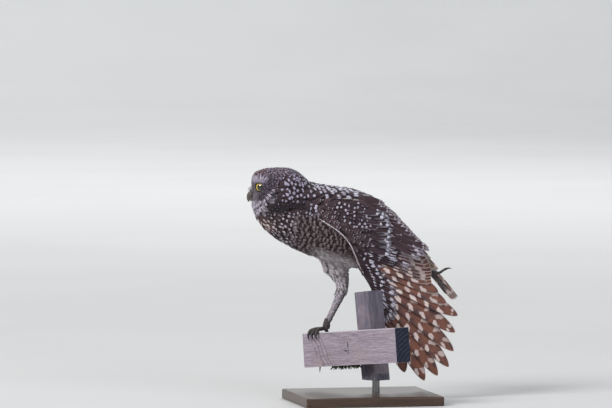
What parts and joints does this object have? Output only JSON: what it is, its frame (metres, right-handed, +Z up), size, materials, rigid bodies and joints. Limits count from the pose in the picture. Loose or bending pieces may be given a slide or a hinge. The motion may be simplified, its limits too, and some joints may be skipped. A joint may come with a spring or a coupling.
{
  "type": "burrowing owl",
  "caption": "Life-size still model of a burrowing owl stretching its left wing and leg, standing on one foot on a wooden T perch held by a flat display base",
  "frame": {"origin": "middle of the box round the model, at the underside of the display base", "axes": "+Z up, the bird's head and bill point along -X, the stretched left wing is on the -Y side"},
  "size_m": [0.2344, 0.1574, 0.2511],
  "materials": {
    "dark_plumage": "soft dull feathers, purplish brown with lilac-white spots",
    "pale_plumage": "soft dull feathers, whitish buff with a few dark flecks",
    "flight_feather": "flat overlapping vanes, warm brown with buff bars and pale tips",
    "bill_horn": "smooth satin horn, grey olive",
    "eye": "glossy, yellow round a dark pupil",
    "toe_skin": "scaly dark grey brown, claws satin black",
    "weathered_wood": "bare weathered grey board with open grain",
    "stand_lacquer": "dark satin lacquer",
    "stand_steel": "brushed steel"
  },
  "bodies": {
    "root": {"head": "dark_plumage", "neck": "dark_plumage", "torso": "dark_plumage", "wing_left": "flight_feather", "wing_right": "flight_feather", "tail": "flight_feather", "bill_upper": "bill_horn", "bill_lower": "bill_horn", "eye_left": "eye", "eye_right": "eye", "leg_right_thigh": "pale_plumage", "leg_left_thigh": "pale_plumage", "leg_right_shank": "pale_plumage", "leg_left_shank": "pale_plumage", "foot_right": "toe_skin", "foot_left": "toe_skin", "perch_crossbar": "weathered_wood", "perch_stake": "weathered_wood", "stand_base": "stand_lacquer", "stand_rod": "stand_steel"}
  },
  "joints": []
}
